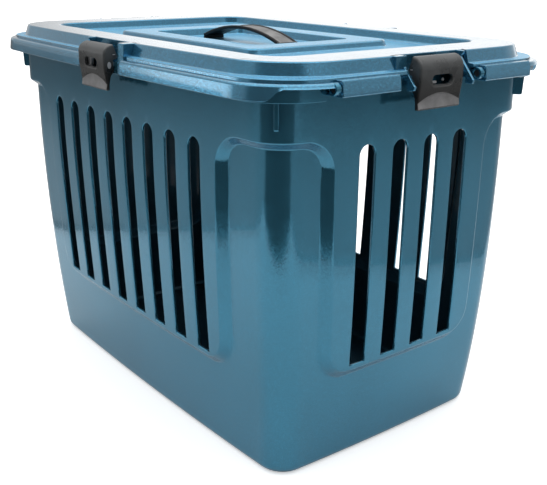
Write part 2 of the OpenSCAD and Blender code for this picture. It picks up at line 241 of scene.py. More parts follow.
# A place on any outline is a loop length s on one reference loop. It starts in the middle of the back left
# corner and passes the left wall, the front wall, the hinge end and the back wall.
HALF_SIDE, HALF_END, CORNER = 204.0, 117.5, 48.7      # half a long wall, half an end wall and a corner's arc
STARTS = np.cumsum([0, CORNER / 2, 2 * HALF_END, CORNER, 2 * HALF_SIDE, CORNER, 2 * HALF_END, CORNER,
                    2 * HALF_SIDE, CORNER / 2])
LOOP = STARTS[-1]
WALL_MID = {"left": STARTS[1] + HALF_END, "front": STARTS[3] + HALF_SIDE,
            "end": STARTS[5] + HALF_END, "back": STARTS[7] + HALF_SIDE}
SIDE, END, TURN = 0, 1, 2                  # the kinds of place: long wall, end wall and corner
# signs of a corner's middle, the angle it starts at, and its number in STARTS
CORNERS = ((-1, 1, 0.75 * PI, 0), (-1, -1, PI, 2), (1, -1, 1.5 * PI, 4), (1, 1, 0.0, 6),
           (-1, 1, 0.5 * PI, 8))
# a wall's number in STARTS, its kind, the side it stands on and the way it runs
WALLS = ((1, END, -1, -1), (3, SIDE, -1, 1), (5, END, 1, 1), (7, SIDE, 1, -1))


def stretch(t, ref, length, keep):
    """t unchanged up to keep, then stretched so that ref lands on length."""
    a = np.abs(t)
    k = (length - keep) / (ref - keep)
    return np.sign(t) * np.where(a <= keep, a, keep + (a - keep) * k)


def outline(s, hx, hy, r, bow=(0, 0), keep=(165, 92)):
    """A rounded rectangle with bowed sides at the loop length s: x, y, kind of place and t along its wall.

    A corner is a quarter circle. A wall is straight, and then moves out by bow times 1 less the square of the
    place along it. keep is how much of half a wall isn't stretched.
    """
    s = np.asarray(s, float) % LOOP
    hx, hy, r = (np.broadcast_to(np.asarray(v, float), s.shape) for v in (hx, hy, r))
    lx, ly = hx - r, hy - r
    x, y, t, kind = np.zeros_like(s), np.zeros_like(s), np.zeros_like(s), np.full(s.shape, TURN)
    for cx, cy, start, i in CORNERS:
        here = (s >= STARTS[i]) & (s <= STARTS[i + 1])
        a = start + (s - STARTS[i]) / CORNER * PI / 2
        x = np.where(here, cx * lx + r * np.cos(a), x)
        y = np.where(here, cy * ly + r * np.sin(a), y)
    for i, wall, stand, way in WALLS:
        here = (s > STARTS[i]) & (s < STARTS[i + 1])
        if wall == SIDE:
            along = way * stretch(s - STARTS[i] - HALF_SIDE, HALF_SIDE, lx, keep[0])
            x, y = np.where(here, along, x), np.where(here, stand * hy, y)
        else:
            along = way * stretch(s - STARTS[i] - HALF_END, HALF_END, ly, keep[1])
            x, y = np.where(here, stand * hx, x), np.where(here, along, y)
        t, kind = np.where(here, along, t), np.where(here, wall, kind)
    bowed_x = x + np.sign(x) * bow[0] * (1 - (y / hy) ** 2)
    bowed_y = y + np.sign(y) * bow[1] * (1 - (x / hx) ** 2)
    return bowed_x, bowed_y, kind, t


def stations(a, b, step=9.0):
    """Loop lengths from a to b, step apart on the walls and closer together round the corners."""
    keep = [a, b]
    s = a
    while s < b:
        keep.append(s)
        in_corner = np.searchsorted(STARTS, s % LOOP, "right") % 2 == 1
        s += 2.4 if in_corner else step
    keep += [c for c in np.r_[STARTS, STARTS + LOOP] if a < c < b]
    keep = sorted(set(round(k, 4) for k in keep))
    out = [keep[0]]
    for k in keep[1:]:
        if k - out[-1] > 0.4:
            out.append(k)
    out[-1] = b
    return out


def run(plan, profile, places, lowest=None):
    """A closed (offset, z) profile run round a plan through the places; lowest(s) lifts what hangs lower."""
    profile = np.array(profile if area(profile) > 0 else profile[::-1], float)
    s, offset, z = np.broadcast_arrays(np.array(places)[:, None], profile[:, 0], profile[:, 1])
    x, y = plan(s, offset, z)
    if lowest is not None:
        z = np.maximum(z, lowest(s))
    return tube(np.stack([x, y, z], -1))


# ---------------------------------------------------------------- the tub

HALF = (235.0, 148.5)                      # half length and half width, before the walls' bow
TUB_R = 31.0                               # radius of the corners
BOW = (2.8, 4.9)                           # how far the ends and the sides bulge
TUB_T = 3.0                                # thickness
TUB_TOP = 345.5
DEPTH = 7.5                                # how far the upper band and the panels stand proud
BAND, ARCH = 304.0, 30.0                   # lower edge of the band, and radius of its arches to the panels
LOW, LOW_R = 97.0, 22.0                    # lower edge of the panels, and radius of their lower corners
SPRING = BAND - ARCH                       # height that the arches spring from
PANEL = ((155.0, 159.0), (86.0, 89.0))     # half width of a SIDE and an END panel, at its foot and at SPRING
MIDDLE = 200.0                             # arches above, panel corners below
BASE_R = 8.0                               # rounding of the foot
FOOT = BASE_R * PI / 2
SLOTS = (8, 4)                             # air slots on a long wall and on an end wall
SLOT_W, PITCH, SLOT_TOP, SILL = 17.3, 37.0, 294.5, 100.0
SLOT_R = SLOT_W / 2
LIP = 0.7                                  # rounding of the slots' edges
LEAN_TOP = 260.0                           # the walls lean inwards below this height


def height(v, wall=0.0):
    """Height, and inset of the quarter-round foot, at the profile length v, wall inside the outer face."""
    r = BASE_R - wall
    a = np.clip(v / BASE_R, 0, PI / 2)
    z = np.where(v < FOOT, wall + r * (1 - np.cos(a)), v - FOOT + BASE_R)
    return z, np.where(v < FOOT, r * (1 - np.sin(a)), 0.0)


def v_of(z):
    """The profile length at a height above the foot."""
    return z - BASE_R + FOOT


TOP_V = v_of(TUB_TOP)


def panel_half(kind, z):
    """Half width of a panel, widening in a straight line from its foot to SPRING."""
    k = np.clip((z - LOW) / (SPRING - LOW), 0, 1)
    foot, top = (np.where(kind == SIDE, PANEL[SIDE][i], PANEL[END][i]) for i in (0, 1))
    return foot + (top - foot) * k


def panel_distance(kind, t, z):
    """Signed distance outside the upper band and its panel, in elevation."""
    half = panel_half(kind, z)
    a = np.abs(t)
    upper = ARCH - np.hypot(np.maximum(half + ARCH - a, 0), np.maximum(z - SPRING, 0))
    px, py = a - (half - LOW_R), LOW + LOW_R - z
    lower = np.hypot(np.maximum(px, 0), np.maximum(py, 0)) - LOW_R + np.minimum(np.maximum(px, py), 0)
    on_wall = np.where(z > MIDDLE, upper, lower)
    return np.where(kind == TURN, np.where(z > MIDDLE, BAND - z, FAR), on_wall)


def ramp(x):
    """0 to 1 in a straight line whose two ends are rounded by parabolas."""
    x = np.clip(x, 0, 1)
    e = 0.22                                # the share that each parabola takes
    k = 1 / (1 - e)
    y = np.where(x < e, k * x * x / (2 * e), k * (x - e / 2))
    return np.where(x > 1 - e, 1 - k * (1 - x) ** 2 / (2 * e), y)


def ramp_width(z):
    """Width of the slope from proud to plain: 7.5 mm round the arches and 10.5 mm below them."""
    return 7.5 + 3.0 * np.clip((290 - z) / 25, 0, 1)


def proud(kind, t, z):
    """How far the face stands out from the corners' plain one."""
    return DEPTH * (1 - ramp(panel_distance(kind, t, z) / ramp_width(z)))


def slot_middle(kind, t):
    """Place on its wall of the slot nearest to t."""
    n = np.where(kind == SIDE, *SLOTS)
    i = np.clip(np.round(t / PITCH + (n - 1) / 2), 0, n - 1)
    return (i - (n - 1) / 2) * PITCH


def slot_distance(s, kind, t, z):
    """Distance outside the nearest slot; large away from slots and on the closed left end wall."""
    a = np.abs(t - slot_middle(kind, t))
    round_top = np.hypot(a, np.maximum(z - (SLOT_TOP - SLOT_R), 0)) - SLOT_R
    d = np.where(z > SILL, round_top, np.hypot(np.maximum(a - SLOT_R, 0), SILL - z))
    return np.where((kind == TURN) | (np.asarray(s) % LOOP < STARTS[2]), FAR, d)


def tub_point(s, v, wall=0.0):
    """The tub's face at loop length s and profile length v, wall inside the outer one.

    The outline is set in by the panels' relief, the rounded foot and the quarter-round lips of the slots, and
    below LEAN_TOP by a lean that grows with the cube of the depth on the ends and its power 1.6 on the sides.
    """
    z, foot = height(v, wall)
    outer_z, _ = height(v)
    _, _, kind, t = outline(s, *HALF, TUB_R)
    e = np.clip(slot_distance(s, kind, t, z) / LIP, 0, 1)
    edge = LIP * (1 - np.sqrt(1 - (1 - e) ** 2))
    out = proud(kind, t, outer_z) - wall + (edge if wall > 0 else -edge)
    inset = DEPTH - out + foot
    lean = np.clip(1 - outer_z / LEAN_TOP, 0, 1)
    hx, hy = HALF[0] - inset - 11.5 * lean ** 3, HALF[1] - inset - 13.5 * lean ** 1.6
    x, y, _, _ = outline(s, hx, hy, TUB_R - inset, BOW)
    return np.stack([x, y, z], -1)


def tub_inner(s, v):
    """The tub's inner face."""
    return tub_point(s, v, TUB_T)


def normals(face, s, v, sign=1.0):
    """Unit normals of a face: the cross product of its two slopes, taken over 0.3 mm."""
    e = 0.15
    n = np.cross(face(s + e, v) - face(s - e, v), face(s, v + e) - face(s, v - e)) * sign
    return n / np.maximum(np.linalg.norm(n, axis=-1, keepdims=True), 1e-9)


def slot_ring(c, grow):
    """Outline of one slot about the place c, grown by grow, in (t, z): a half circle over a straight sill."""
    r = SLOT_R + grow
    top_z, low_z = SLOT_TOP - SLOT_R, SILL - grow
    top = arc(c, top_z, r, 0, PI, 15)
    left = [(c - r, z) for z in np.linspace(top_z, low_z, 21)[1:]]
    low = [(c + r * k, low_z) for k in (-0.5, 0, 0.5)]
    right = [(c + r, z) for z in np.linspace(low_z, top_z, 21)[:-1]]
    return top + left + low + right


def band_line(kind, g):
    """The contour a distance g outside a panel and the band, from left arch to right arch, in (t, z)."""
    foot, top = PANEL[kind]
    shoulder, corner_t = LOW + LOW_R, foot - LOW_R
    half = arc(-(top + ARCH), SPRING, ARCH - g, PI / 2, 0, 11)
    half += [(-float(panel_half(kind, z)) - g, z) for z in np.linspace(SPRING, shoulder, 31)[1:-1]]
    half += arc(-corner_t, shoulder, LOW_R + g, PI, 1.5 * PI, 11)
    low = [(t, LOW - g) for t in np.linspace(-corner_t, corner_t, 25)[1:-1]]
    return np.array(half + low + [(-t, z) for t, z in reversed(half)])


def draw_slots(net):
    """The slots' rims and the two contours of their lips, on every wall but the closed left end."""
    for name, kind in (("front", SIDE), ("end", END), ("back", SIDE)):
        for i in range(SLOTS[kind]):
            c = WALL_MID[name] + (i - (SLOTS[kind] - 1) / 2) * PITCH
            for grow in (0.0, 0.25 * LIP, LIP):
                net.path([(s, v_of(z)) for s, z in slot_ring(c, grow)], loop=True)


def draw_band(net):
    """Contours down the slope of the band and the panels, carried straight through the corners."""
    order = (("left", END), ("front", SIDE), ("end", END), ("back", SIDE))
    for f in (0.0, 0.12, 0.25, 0.5, 0.75, 0.88, 1.0):
        lines = []
        for name, kind in order:
            at, outward = band_line(kind, 0.0), band_line(kind, 1.0)
            at = at + (outward - at) * (ramp_width(at[:, 1]) * f)[:, None]
            lines.append(np.stack([WALL_MID[name] + at[:, 0], v_of(at[:, 1])], 1))
            net.path(lines[-1])
        for this, following in zip(lines, lines[1:]):
            net.path(np.linspace(this[-1], following[0], 15))
        last, first = lines[-1][-1], lines[0][0]
        net.path(np.linspace(last, (LOOP, last[1]), 8))
        net.path(np.linspace((0.0, first[1]), first, 8))


def draw_grid(net):
    """An even grid, whose border is kept as the drawing's own."""
    grid_s = np.arange(0, LOOP + 1e-6, LOOP / 210)
    grid_v = np.concatenate([np.linspace(0, FOOT, 6), np.linspace(FOOT, TOP_V, 56)[1:]])
    for v in grid_v:
        for s in grid_s:
            net.add((s, v))
    for v0, v1 in zip(grid_v, grid_v[1:]):
        for s in (0.0, LOOP):
            net.path([(s, v0), (s, v1)])
    for s0, s1 in zip(grid_s, grid_s[1:]):
        for v in (0.0, TOP_V):
            net.path([(s0, v), (s1, v)])


def tub_drawing():
    """The tub's unrolled face in (s, v), as points and triangles outside its slots."""
    net = Net()
    draw_slots(net)
    draw_band(net)
    draw_grid(net)
    points, tris = triangulate(net.points, net.edges)
    s, v = points[tris].mean(1).T
    z, _ = height(v)
    _, _, kind, t = outline(s, *HALF, TUB_R)
    from_middle = np.hypot(t - slot_middle(kind, t), np.maximum(z - (SLOT_TOP - SLOT_R), 0))
    hole = (kind != TURN) & (s > STARTS[2]) & (z > SILL) & (from_middle < SLOT_R)
    return points, tris[~hole & (np.abs(cross_at(points, tris)) >= 1e-6)]


def close_seam(points, tris):
    """The triangles with the drawing's right edge moved onto the points of its left one."""
    alias = np.arange(len(points))
    left = {round(v, 2): i for i, (s, v) in enumerate(points) if abs(s) < 1e-3}
    for i, (s, v) in enumerate(points):
        if abs(s - LOOP) < 1e-3:
            alias[i] = left.get(round(v, 2), i)
    return [tuple(t) for t in alias[tris].tolist() if len(set(t)) == 3]


def build_tub():
    """The tub: an outer and an inner skin joined round the slots and the top, each with a flat bottom."""
    points, tris = tub_drawing()
    s, v = points.T
    n = len(points)
    ring = sorted((p[0], i) for i, p in enumerate(points) if p[1] < 1e-3 and p[0] < LOOP - 1e-3)
    ids = [i for _, i in ring]
    foot = set(ids)
    # along the foot the skins end in their bottoms and aren't joined
    faces = two_skins(close_seam(points, tris), n)
    faces = [f for f in faces if not (len(f) == 4 and foot.issuperset(f[:2]))]
    faces += [tuple(reversed(ids)), tuple(i + n for i in ids)]
    skins = np.vstack([tub_point(s, v), tub_inner(s, v)])
    shading = np.vstack([normals(tub_point, s, v), normals(tub_inner, s, v, -1.0)])
    # the flags mark the inner skin's faces, which get painted shade
    return make_object("tub_moulded", skins, faces, shading), [min(f) >= n for f in faces]


# ---------------------------------------------------------------- what tub, lid and clips share

LID_TOP, RECESS_Z, ISLAND_Z, WELL_Z = 363.5, 354.5, 360.5, 352.5
LID_T = 2.5                                # thickness of the lid's top
LID_HALF, LID_R, LID_BOW = (240.0, 150.5), 40.0, (3.5, 6.6)   # the outline that offsets start from
FLANGE_Z, SKIRT_Z = 347.3, 337.3           # underside of the flange, and lower edge of its skirt
HINGE = (254.6, 345.0)                     # x and z of the lid's axis
BARREL_Y, BARREL_L, BARREL_H = (-106.03, 54.5), 60.0, 6.4   # the barrels' starts, length and half height
CLIP_AT = (166.2, 250.6)                   # distance of the clips' pins from the middle, on sides and ends
CLIP_PIN_R, HINGE_PIN_R, PLAY = 1.5, 3.0, 0.06
CLIP_Z = 352.5
BAY = (-31, 47)                            # the lid is cut away beside a clip, between these
GUSSETS = (-29.8, 39.8)                    # places of the fins in a bay
# a clip's name, the middle of its pin, the way the pin runs and the way out of the lid
CLIPS = (("front", (0, -CLIP_AT[0], CLIP_Z), (1, 0, 0), (0, -1, 0)),
         ("hinge", (CLIP_AT[1], 0, CLIP_Z), (0, 1, 0), (1, 0, 0)),
         ("back", (0, CLIP_AT[0], CLIP_Z), (1, 0, 0), (0, 1, 0)),
         ("left", (-CLIP_AT[1], 0, CLIP_Z), (0, -1, 0), (-1, 0, 0)))
ON_LONG_SIDE = ("front", "back")


def tub_plan(s, offset, z):
    """The tub's outline with an offset, the same at every height."""
    return outline(s, HALF[0] + offset, HALF[1] + offset, TUB_R + offset, BOW)[:2]


def lid_plan(s, offset, z):
    """The lid's outline with an offset; above the flange the raised wall's corners are 14 mm rounder."""
    r = LID_R + offset + 14.0 * np.clip((z - 352.4) / 0.4, 0, 1)
    return outline(s, LID_HALF[0] + offset, LID_HALF[1] + offset, r, LID_BOW, (75, 75))[:2]


def end_s(y):
    """Loop length on the hinge end at a width y, where the plan isn't stretched."""
    return WALL_MID["end"] + y


# ---------------------------------------------------------------- the tub's rim, fins and knuckles

RIM_FULL = rounded([(-3, 344.5, 0), (10.3, 344.5, 1), (10.3, 335.5, 0.5), (12.8, 335.5, 0.5),
                    (12.8, 347, 1.6), (-3, 347, 0.6)])
RIM_CUT = rounded([(-3, 344.5, 0), (1, 344.5, 0), (1, 347, 0.6), (-3, 347, 0.6)])


def tub_rim(bag):
    """The rim, full all round but cut back to the wall where the lid's barrels turn."""
    cuts = (BARREL_Y[0] - 5.8, -26.5, 26.5, BARREL_Y[1] + BARREL_L + 2)
    edges = [end_s(y) for y in cuts]
    edges.append(edges[0] + LOOP)
    for a, b, profile in zip(edges, edges[1:], (RIM_CUT, RIM_FULL, RIM_CUT, RIM_FULL)):
        bag.add(*run(tub_plan, profile, stations(a, b)))


def corner_fins(bag):
    """A fin under the rim on each corner; the one between the front wall and the hinge end is smaller."""
    for sx in (-1, 1):
        for sy in (-1, 1):
            out = np.array([sx, sy, 0]) / math.sqrt(2)
            across = np.array([-sy * sx, 1, 0]) / math.sqrt(2)
            more, low = (0, 313.5) if (sx, sy) == (1, -1) else (1.8, 316.0)
            fin = [(30, low), (36.5 + more, low), (37.6 + more, low + 1.1), (38.4 + more, 335.5),
                   (42.3 + more, 345), (30, 345)]
            bag.prism(fin, -1.8, 1.8, (sx * HALF_SIDE, sy * HALF_END, 0), (out, UP, across))


def knuckles(bag):
    """The tub's round-ended arms that hold the hinge pins, one before each barrel."""
    shape = [(-21, 2), (-21, -5)] + arc(0, 0, 5, -PI / 2, PI / 2, 20) + [(-1, 5), (-5, 2)]
    for y in BARREL_Y:
        at = (HINGE[0], y, HINGE[1])
        bag.prism(shape, 0.5, 5.5, at, ((1, 0, 0), UP, (0, -1, 0)), [circle(0, 0, HINGE_PIN_R, 28)])


def build_trim():
    """What is moulded onto the tub's walls."""
    bag = Bag()
    tub_rim(bag)
    corner_fins(bag)
    knuckles(bag)
    return bag.make("tub_rim", 0.5)


# ---------------------------------------------------------------- the lid

WALL = rounded([(-5, LID_TOP, 0), (0.2, LID_TOP, 1.6), (3.6, 352.9, 1.3), (9.4, 352.4, 0.7),
                (9.7, 349.6, 0.3), (5.2, 349.6, 0.3), (5.2, FLANGE_Z, 0.3), (1.4, FLANGE_Z, 1),
                (-2.5, LID_TOP - LID_T, 1), (-5, LID_TOP - LID_T, 0)])
FLANGE = rounded([(5.0, 349.9, 0), (9.7, 349.9, 0.4), (15.4, 349.8, 3.0), (16.8, SKIRT_Z, 0.5),
                  (14.3, SKIRT_Z, 0.5), (14.1, FLANGE_Z, 1), (5.0, FLANGE_Z, 0)])
RECESS, ISLAND, WELL = (199.0, 122.0), (120.0, 85.0), (91.0, 57.0)   # half sizes of the lid's steps
# for each step, the rings that round it: how far outside it, the corner radius and the height
TOP_STEPS = ((RECESS, ((2.6, 26.5, LID_TOP), (0.7, 24.8, LID_TOP - 0.4), (0, 24, LID_TOP - 1.4),
                       (-1, 23.2, RECESS_Z + 2.5), (-1.8, 22.4, RECESS_Z + 1), (-2.8, 21.4, RECESS_Z + 0.3),
                       (-4.2, 20.4, RECESS_Z))),
             (ISLAND, ((2.4, 18, RECESS_Z), (1.2, 17, RECESS_Z + 0.3), (0.6, 16.4, RECESS_Z + 1.2),
                       (-0.3, 15.6, ISLAND_Z - 1.8), (-0.9, 15, ISLAND_Z - 0.8), (-2, 14, ISLAND_Z - 0.1),
                       (-3.2, 13, ISLAND_Z))),
             (WELL, ((2.2, 13, ISLAND_Z), (0.9, 12, ISLAND_Z - 0.3), (0.2, 11.4, ISLAND_Z - 1.1),
                     (-1.4, 10, WELL_Z + 1.2), (-2, 9.6, WELL_Z + 0.3), (-3.2, 8.6, WELL_Z))))
UNDER_STEPS = ((RECESS, ((2.5, 26, LID_TOP - LID_T), (1.8, 25, LID_TOP - LID_T - 0.8),
                         (0.4, 24, RECESS_Z - LID_T + 0.6), (-0.2, 23, RECESS_Z - LID_T))),
               (ISLAND, ((-2.5, 13, RECESS_Z - LID_T), (-3, 13, RECESS_Z - LID_T + 0.6),
                         (-4, 12, ISLAND_Z - LID_T - 0.6), (-4.6, 11.5, ISLAND_Z - LID_T))),
               (WELL, ((4, 12, ISLAND_Z - LID_T), (3.3, 11.5, ISLAND_Z - LID_T - 0.8),
                       (2, 10.8, WELL_Z - LID_T + 0.6), (1.2, 10, WELL_Z - LID_T))))
WELL_FLOOR = ((50, 24, 5), (14, 6, 3))     # rings that fill the well's flat middle


def lid_face(steps, edge_z):
    """One face of the lid's top: rings from the raised wall inwards, and a flat piece in the middle."""
    s = np.array(stations(0, LOOP, 14.0)[:-1])
    rings = [(*lid_plan(s, -5.0, edge_z), edge_z)]
    for (hx, hy), ring_rows in steps:
        for grow, r, z in ring_rows:
            rings.append((*outline(s, hx + grow, hy + grow, r, (0, 0), (0, 0))[:2], z))
    for hx, hy, r in WELL_FLOOR:
        rings.append((*outline(s, hx, hy, r, (0, 0), (0, 0))[:2], rings[-1][2]))
    points = np.array([np.stack([x, y, np.full_like(x, z)], -1) for x, y, z in rings]).reshape(-1, 3)
    n = len(s)
    return points, quads(len(rings), n) + [tuple(range(len(points) - n, len(points)))]


def skirt_low(s):
    """The skirt's lower edge: high over the hinge, with an S-shaped step round both corners of that end."""
    first = STARTS[4] + CORNER * np.array((0.40, 0.54))
    second = STARTS[6] + CORNER * np.array((0.46, 0.60))
    s = s % LOOP
    up = np.clip((s - first[0]) / (first[1] - first[0]), 0, 1)
    down = np.clip((second[1] - s) / (second[1] - second[0]), 0, 1)
    k = np.minimum(up, down)
    return SKIRT_Z + 9.1 * k * k * (3 - 2 * k)


def lid_edge(bag):
    """The raised wall from bay to bay, and the flange with its skirt, which also stops for the hinge."""
    left, front, back = (WALL_MID[k] for k in ("left", "front", "back"))
    low, high = BAY
    front_left, back_right = (left + high, front + low), (back - low, left + low + LOOP)
    for a, b in (front_left, (front + high, end_s(low)), (end_s(high), back - high), back_right):
        bag.add(*run(lid_plan, WALL, stations(a, b)))
    for a, b in (front_left, (front + high, end_s(BARREL_Y[0] - 10)), (end_s(BARREL_Y[0]), end_s(-46)),
                 (end_s(BARREL_Y[1]), back - high), back_right):
        bag.add(*run(lid_plan, FLANGE, stations(a, b), skirt_low))


def build_lid():
    """The lid's top with both its faces, and its edge."""
    bag = Bag()
    bag.add(*lid_face(TOP_STEPS, LID_TOP))
    points, faces = lid_face(UNDER_STEPS, LID_TOP - LID_T)
    bag.add(points, turned(faces))
    lid_edge(bag)
    return bag.make("lid_moulded")


def clip_bay(bag, name, at, along, out):
    """A clip's bay in the lid: back wall, two bored lugs for the pin, fins, and a block beside the clip."""
    long_side = name in ON_LONG_SIDE
    frame_axes = (out, UP, along)
    rest, top, low = FLANGE_Z - CLIP_Z, LID_TOP - CLIP_Z, SKIRT_Z - CLIP_Z
    depth = -14.8 if long_side else -12.9
    bag.prism([(depth, rest), (-10.9, rest), (-10.9, top), (depth, top)], -33, 49, at, frame_axes)
    lug = [(-11.5, rest), (3, rest), (3.2, -2.4)] + arc(0, 0, 4, -0.6, PI * 0.83, 18)
    lug += [(-5, -2.8), (-11.5, -3)]
    for c in (-16, 16):
        bag.prism(lug, c - 2, c + 2, at, frame_axes, [circle(0, 0, CLIP_PIN_R, 20)])
    i = int(long_side)                      # fins reach 16.7 mm out, just inside the skirt's face
    reach = LID_HALF[i] + 16.7 + LID_BOW[i] - CLIP_AT[1 - i]
    fin = [(-11.5, rest), (0.8, rest), (0.8, low), (reach - 0.8, low), (reach, low + 3), (-5.9, top - 5),
           (-3.4, top - 2.2), (-2.9, top), (-11.5, top)]
    for c in GUSSETS[:1] if long_side else GUSSETS:
        bag.prism(fin, c - 1.3, c + 1.3, at, frame_axes)
    if long_side:
        block = [(-13.5, rest), (0.8, rest), (0.8, low - 0.4), (3.4, low - 0.4), (1.4, top), (-13.5, top)]
        bag.prism(block, 36, 46.5, at, frame_axes)
    else:
        foot = 349.5 - CLIP_Z
        bag.prism([(-11.5, foot), (-2.8, foot), (-2.8, top), (-11.5, top)], -40, -28.4, at, frame_axes)


def hinge_barrels(bag):
    """The lid's two barrels: square bars with their outer edges sloped off, bored for the pins."""
    h, slope, draft = BARREL_H, 2.5, 1.0
    shape = [(-h, -h), (h - slope * 0.4, -h), (h, -h + slope * 0.4), (h - draft, h - slope),
             (h - slope, h), (-h, h)]
    bore = circle(0, 0, HINGE_PIN_R + PLAY, 28)
    for y in BARREL_Y:
        at = (HINGE[0], y, HINGE[1])
        bag.prism(shape, 0, BARREL_L, at, ((1, 0, 0), UP, (0, 1, 0)), [bore])


def lid_hardware():
    """The lid's four bays and its hinge barrels."""
    bag = Bag()
    for clip in CLIPS:
        clip_bay(bag, *clip)
    hinge_barrels(bag)
    return bag.make("lid_hardware", 0.55)


# ---------------------------------------------------------------- the clips

CLIP_R, CLIP_T, CLIP_DROP, CLIP_HALF = 10.4, 2.6, 31.5, 25.4   # top radius, thickness, drop, half width
SIDE_SQUASH = 0.83                         # the side clips' round top is this much lower
CREST = math.radians(88)                   # where the round top ends, clear of the lugs when the clip is up
WINDOW = (12, -12, -4, 3.9)                # half width, lower and upper edge and radius of the window
PAD_HALF, PAD_SIDE, PAD_RISE = 24.6, 4.4, 7.0   # thumb pad: half width, height at its ends, more amid them


class Line:
    """An (out, up) line through points, read by its length."""

    def __init__(self, points):
        self.x, self.z = np.array(points, float).T
        self.at = np.r_[0, np.cumsum(np.hypot(np.diff(self.x), np.diff(self.z)))]
        self.length = self.at[-1]
        self.crown = int(self.z.argmax())

    def place(self, length):
        """The place at a length."""
        length = np.clip(length, 0, self.length)
        return np.interp(length, self.at, self.x), np.interp(length, self.at, self.z)

    def inset(self, length, depth):
        """The place at a length moved inwards by depth, at right angles to the line's run over 0.8 mm."""
        length = np.clip(length, 0, self.length)
        (x0, z0), (x, z), (x1, z1) = (self.place(length + e) for e in (-0.4, 0, 0.4))
        k = np.hypot(x1 - x0, z1 - z0)
        return x + (z1 - z0) / k * depth, z - (x1 - x0) / k * depth

    def fallen_to(self, z):
        """The length at which the line has come down to a height."""
        return float(np.interp(-z, -self.z[self.crown:], self.at[self.crown:]))


def squashed(points, squash):
    """(out, up) points with what lies above the pin made lower."""
    return [(x, z * squash if z > 0 else z) for x, z in points]


def clip_line(squash):
    """The clip's outer profile: a quarter round over the pin, then a face that curves in to its foot."""
    r = CLIP_R
    face = [(r, -4), (r - 0.05, -8), (r - 0.25, -12), (r - 0.8, -16), (r - 1.5, -20), (r - 1.9, -24),
            (r - 1.8, -27), (r - 1.5, -29.8), (r - 1.7, -30.8), (r - 2.4, -CLIP_DROP)]
    return Line(squashed(arc(0, 0, r, CREST, 0, 22) + face, squash))


def window(line, grow):
    """The window's rounded outline grown by grow, in (across, length)."""
    half, low, high, r = WINDOW
    half, low, high, r = half + grow, low - grow, high + grow, r + grow
    shape = rounded([(-half, low, r), (half, low, r), (half, high, r), (-half, high, r)])
    return [(a, line.fallen_to(z)) for a, z in shape]


def pad_foot(line):
    """Length down the clip at which the thumb pad ends."""
    return line.length - 1.5


def pad_rise(a):
    """Height of the thumb pad above its foot: a parabola over the clip's width."""
    return PAD_SIDE + PAD_RISE * np.clip(1 - (np.abs(a) / PAD_HALF) ** 2, 0, 1)


def clip_drawing(line):
    """The clip's front unrolled in (across, length), as points and triangles outside the window."""
    net = Net()
    for grow in (0.0, 0.45, 0.9, 1.5, 2.2):
        net.path(window(line, grow), loop=True)
    pad_line = np.linspace(-PAD_HALF, PAD_HALF, 41)
    for step in (0.0, 0.7):
        net.path(np.stack([pad_line, pad_foot(line) - pad_rise(pad_line) - step], 1))
    half, rim = CLIP_HALF, CLIP_HALF - 2
    cols = np.r_[np.linspace(-half, -rim, 5), np.linspace(-rim, rim, 26)[1:-1], np.linspace(rim, half, 5)]
    rows = np.r_[np.linspace(0, 22, 22), np.linspace(22, line.length, 30)[1:]]
    border = [(c, 0.0) for c in cols] + [(half, r) for r in rows[1:]]
    border += [(c, line.length) for c in cols[::-1][1:]] + [(-half, r) for r in rows[::-1][1:-1]]
    net.path(border, loop=True)
    grid = np.array([(c, r) for c in cols[1:-1] for r in rows[1:-1]])
    for p in grid[~inside(grid, window(line, 2.2))]:
        net.add(p)
    points, tris = triangulate(net.points, net.edges, 1e-3)
    return points, tris[~inside(points[tris].mean(1), window(line, 0.0))]


def relief(line, a, length):
    """How deep the clip's front lies: the pad's hollow, 0.1 mm for each mm of height, and the round sides.

    The bead under the window is taken off: a parabola across its ring, fading out upwards.
    """
    up = pad_foot(line) - length
    pad = np.where(up < pad_rise(a) + 0.35, np.clip(up, 0, 30) * 0.1 + 0.15, 0.0)
    down = length - line.fallen_to((WINDOW[1] + WINDOW[2]) / 2)
    from_window = np.hypot(np.maximum(np.abs(a) - 8.1, 0), np.maximum(np.abs(down) - 0.1, 0)) - WINDOW[3]
    bead = 0.8 * np.clip(1 - ((from_window - 0.75) / 0.95) ** 2, 0, 1) * np.clip(down / 2.0, 0, 1)
    from_side = np.clip((np.abs(a) - (CLIP_HALF - 2)) / 2, 0, 1)
    return pad - bead + 1.6 * (1 - np.sqrt(1 - from_side ** 2))


def clip_front(bag, line, at, along, out):
    """The clip's front plate as two skins, with the window through it. Returns the faces of the thumb pad."""
    flat, tris = clip_drawing(line)
    a, length = flat.T

    def skin(depth):
        x, z = line.inset(length, depth)
        return np.array(at) + np.outer(a, along) + np.outer(x, out) + np.outer(z, UP)

    faces = two_skins([tuple(t) for t in tris.tolist()], len(flat))
    mirrored = np.dot(np.cross(out, UP), along) < 0
    bag.add(np.vstack([skin(relief(line, a, length)), skin(CLIP_T)]), turned(faces) if mirrored else faces)
    mid_a, mid_l = flat[tris].mean(1).T
    foot = pad_foot(line)
    on_pad = (np.abs(mid_a) < PAD_HALF - 0.2) & (foot - pad_rise(mid_a) < mid_l) & (mid_l < foot + 0.3)
    return np.flatnonzero(on_pad)


